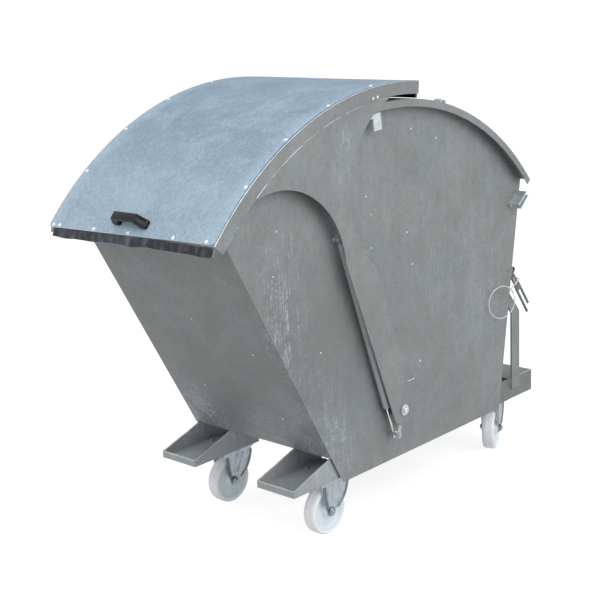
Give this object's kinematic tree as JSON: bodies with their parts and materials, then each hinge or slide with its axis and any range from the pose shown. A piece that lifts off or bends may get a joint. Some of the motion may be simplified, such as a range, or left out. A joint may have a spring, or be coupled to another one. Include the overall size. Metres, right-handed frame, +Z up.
{
  "type": "wheeled waste container",
  "caption": "Galvanised waste container on castors with a swivelling segment lid, gas struts, fork pockets, a tow bow and a latch with a pull loop.",
  "frame": {"origin": "middle of the bounding box in plan, on the ground under the wheels", "axes": "-Y to the front where the lid is lifted, +X to the right side seen from the front, +Z up"},
  "size_m": [0.729, 1.654, 1.4224],
  "materials": {
    "galvanised_steel": "weathered hot-dip zinc, matt",
    "lid_sheet": "hot-dip zinc sheet, slightly brighter",
    "bright_zinc": "bright electroplated zinc",
    "white_nylon": "moulded, satin",
    "aluminium_rivet": "plain rivet heads",
    "black_plastic": "moulded, fine grain",
    "rubber": "matt sheet",
    "strut_paint": "dark satin paint",
    "strut_chrome": "polished rod"
  },
  "bodies": {
    "container": {"left_side_plate": "galvanised_steel", "right_side_plate": "galvanised_steel", "front_wall": "galvanised_steel", "floor_plate": "galvanised_steel", "rear_wall": "galvanised_steel", "roof": "galvanised_steel", "opening_rim": "galvanised_steel", "lid_pivots": "bright_zinc", "upper_strut_studs": "bright_zinc", "lid_stops": "bright_zinc", "roof_bracket": "galvanised_steel", "left_front_console": "galvanised_steel", "right_front_console": "galvanised_steel", "left_rear_console": "galvanised_steel", "right_rear_console": "galvanised_steel", "rear_beam": "galvanised_steel", "left_front_castor_plate": "bright_zinc", "right_front_castor_plate": "bright_zinc", "left_rear_castor_plate": "bright_zinc", "right_rear_castor_plate": "bright_zinc", "castor_bolts": "bright_zinc", "tow_bow": "galvanised_steel", "latch_bracket": "bright_zinc", "latch_pin": "bright_zinc", "latch_spring": "bright_zinc"},
    "lid": {"lid_cover": "lid_sheet", "left_lid_frame": "galvanised_steel", "right_lid_frame": "galvanised_steel", "front_rail": "galvanised_steel", "rear_rail": "galvanised_steel", "left_arm": "galvanised_steel", "right_arm": "galvanised_steel", "cover_rivets": "aluminium_rivet", "lid_handle": "black_plastic", "handle_screws": "bright_zinc", "rubber_lip": "rubber", "rear_seal": "rubber", "stop_tabs": "white_nylon", "tab_rivets": "bright_zinc", "strut_studs": "bright_zinc"},
    "left_rod": {"left_strut_rod": "strut_chrome"},
    "right_rod": {"right_strut_rod": "strut_chrome"},
    "left_tube": {"left_strut_tube": "strut_paint"},
    "right_tube": {"right_strut_tube": "strut_paint"},
    "left_swivel": {"left_front_fork": "bright_zinc", "left_front_axle": "bright_zinc"},
    "right_swivel": {"right_front_fork": "bright_zinc", "right_front_axle": "bright_zinc"},
    "left_rear_swivel": {"left_rear_fork": "bright_zinc", "left_rear_axle": "bright_zinc"},
    "right_rear_swivel": {"right_rear_fork": "bright_zinc", "right_rear_axle": "bright_zinc"},
    "left_front_roller": {"left_front_wheel": "white_nylon"},
    "right_front_roller": {"right_front_wheel": "white_nylon"},
    "left_rear_roller": {"left_rear_wheel": "white_nylon"},
    "right_rear_roller": {"right_rear_wheel": "white_nylon"},
    "latch": {"latch_lever": "bright_zinc", "pull_loop": "bright_zinc"}
  },
  "joints": [
    {"name": "lid_swing", "type": "hinge", "parent": "container", "child": "lid", "pos_m": [0, -0.01097, 0.371], "axis": [-1, 0, 0], "range_deg": [0, 53.5]},
    {"name": "left_rod_swing", "type": "hinge", "parent": "lid", "child": "left_rod", "pos_m": [-0.32925, -0.03597, 0.29], "axis": [-1, 0, 0], "range_deg": [-51, 0]},
    {"name": "left_tube_swing", "type": "hinge", "parent": "container", "child": "left_tube", "pos_m": [-0.32925, -0.26997, 0.977], "axis": [-1, 0, 0], "range_deg": [0, 4]},
    {"name": "left_castor_swivel", "type": "hinge", "parent": "container", "child": "left_swivel", "pos_m": [-0.22, -0.24197, 0.189], "axis": [0, 0, 1], "continuous": true},
    {"name": "left_front_wheel_spin", "type": "hinge", "parent": "left_swivel", "child": "left_front_roller", "pos_m": [-0.22, -0.26597, 0.08], "axis": [1, 0, 0], "continuous": true},
    {"name": "left_rear_castor_swivel", "type": "hinge", "parent": "container", "child": "left_rear_swivel", "pos_m": [-0.208, 0.70703, 0.189], "axis": [0, 0, 1], "continuous": true},
    {"name": "left_rear_wheel_spin", "type": "hinge", "parent": "left_rear_swivel", "child": "left_rear_roller", "pos_m": [-0.21776, 0.6851, 0.08], "axis": [0.9135, -0.4067, 0], "continuous": true},
    {"name": "right_rod_swing", "type": "hinge", "parent": "lid", "child": "right_rod", "pos_m": [0.32925, -0.03597, 0.29], "axis": [-1, 0, 0], "range_deg": [-51, 0]},
    {"name": "right_tube_swing", "type": "hinge", "parent": "container", "child": "right_tube", "pos_m": [0.32925, -0.26997, 0.977], "axis": [-1, 0, 0], "range_deg": [0, 4]},
    {"name": "right_castor_swivel", "type": "hinge", "parent": "container", "child": "right_swivel", "pos_m": [0.22, -0.24197, 0.189], "axis": [0, 0, 1], "continuous": true},
    {"name": "right_front_wheel_spin", "type": "hinge", "parent": "right_swivel", "child": "right_front_roller", "pos_m": [0.22, -0.26597, 0.08], "axis": [1, 0, 0], "continuous": true},
    {"name": "right_rear_castor_swivel", "type": "hinge", "parent": "container", "child": "right_rear_swivel", "pos_m": [0.208, 0.70703, 0.189], "axis": [0, 0, 1], "continuous": true},
    {"name": "right_rear_wheel_spin", "type": "hinge", "parent": "right_rear_swivel", "child": "right_rear_roller", "pos_m": [0.21776, 0.6851, 0.08], "axis": [0.9135, 0.4067, 0], "continuous": true},
    {"name": "latch_swing", "type": "hinge", "parent": "container", "child": "latch", "pos_m": [0.29, 0.6985, 0.693], "axis": [1, 0, 0], "range_deg": [0, 20], "stiffness_Nm_per_rad": 1, "springref_deg": -28.65}
  ],
  "couplings": [
    {"joint": "left_rod_swing", "follows": "lid_swing", "ratio": -0.9355},
    {"joint": "left_tube_swing", "follows": "lid_swing", "ratio": 0.0645},
    {"joint": "right_rod_swing", "follows": "lid_swing", "ratio": -0.9355},
    {"joint": "right_tube_swing", "follows": "lid_swing", "ratio": 0.0645}
  ]
}
